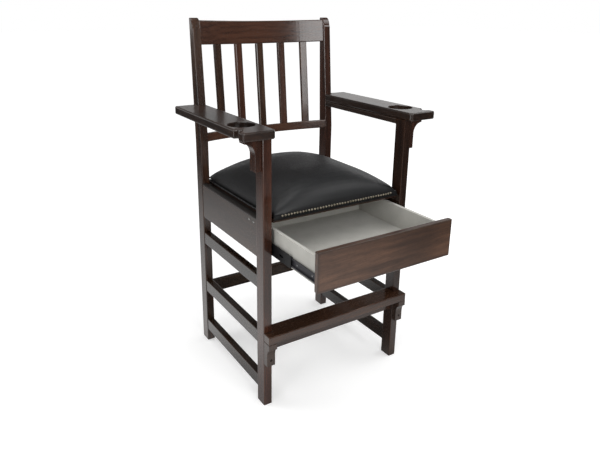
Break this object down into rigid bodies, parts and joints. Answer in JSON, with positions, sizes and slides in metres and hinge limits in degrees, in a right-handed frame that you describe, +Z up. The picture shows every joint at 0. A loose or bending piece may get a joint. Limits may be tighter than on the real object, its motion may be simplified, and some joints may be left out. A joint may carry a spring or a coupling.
{
  "type": "billiard spectator chair",
  "caption": "Tall hardwood armchair with a padded seat, slatted back, footrest, cup wells and cue notches in the arms, and a felt-lined drawer on telescopic slides.",
  "frame": {"origin": "on the floor under the middle of the chair's bounding box as it stands with its drawer pulled out", "axes": "+Z up, the chair faces -Y and its drawer opens along -Y, +X is to the right of someone looking at its front"},
  "size_m": [0.778, 0.8564, 1.311],
  "materials": {
    "walnut_lacquer": "dark walnut stain under satin lacquer",
    "black_leather": "black upholstery leather, semi-matt",
    "grey_felt": "light grey flocked felt over the drawer's boards",
    "black_steel": "black coated slide steel"
  },
  "bodies": {
    "frame": {"front_leg_l": "walnut_lacquer", "front_leg_r": "walnut_lacquer", "rear_post_l": "walnut_lacquer", "rear_post_r": "walnut_lacquer", "side_apron_l": "walnut_lacquer", "side_apron_r": "walnut_lacquer", "rear_apron": "walnut_lacquer", "side_stretcher_upper_l": "walnut_lacquer", "side_stretcher_upper_r": "walnut_lacquer", "side_stretcher_middle_l": "walnut_lacquer", "side_stretcher_middle_r": "walnut_lacquer", "side_stretcher_lower_l": "walnut_lacquer", "side_stretcher_lower_r": "walnut_lacquer", "rear_stretcher": "walnut_lacquer", "front_stretcher": "walnut_lacquer", "footrest_board": "walnut_lacquer", "footrest_corbel_l": "walnut_lacquer", "footrest_corbel_r": "walnut_lacquer", "arm_board_l": "walnut_lacquer", "arm_board_r": "walnut_lacquer", "arm_rail_l": "walnut_lacquer", "arm_rail_r": "walnut_lacquer", "arm_corbel_l": "walnut_lacquer", "arm_corbel_r": "walnut_lacquer", "back_top_rail": "walnut_lacquer", "back_low_rail": "walnut_lacquer", "back_slat_1": "walnut_lacquer", "back_slat_2": "walnut_lacquer", "back_slat_3": "walnut_lacquer", "back_slat_4": "walnut_lacquer", "back_slat_5": "walnut_lacquer", "seat_board": "walnut_lacquer", "seat_cushion": "black_leather", "seat_cleat_l": "walnut_lacquer", "seat_cleat_r": "walnut_lacquer", "slide_block_l": "walnut_lacquer", "slide_block_r": "walnut_lacquer", "slide_cabinet_l": "black_steel", "slide_cabinet_r": "black_steel"},
    "slide_middles": {"slide_middle_l": "black_steel", "slide_middle_r": "black_steel"},
    "drawer": {"drawer_front": "walnut_lacquer", "drawer_box_front": "grey_felt", "drawer_side_l": "grey_felt", "drawer_side_r": "grey_felt", "drawer_back": "grey_felt", "drawer_bottom": "grey_felt", "slide_drawer_l": "black_steel", "slide_drawer_r": "black_steel"}
  },
  "joints": [
    {"name": "drawer_slide", "type": "slide", "parent": "frame", "child": "drawer", "axis": [0, -1, 0], "range_m": [-0.26, 0.165]},
    {"name": "slide_middle_travel", "type": "slide", "parent": "frame", "child": "slide_middles", "axis": [0, -1, 0], "range_m": [-0.131, 0.0835]}
  ],
  "couplings": [
    {"joint": "slide_middle_travel", "follows": "drawer_slide", "ratio": 0.5}
  ]
}
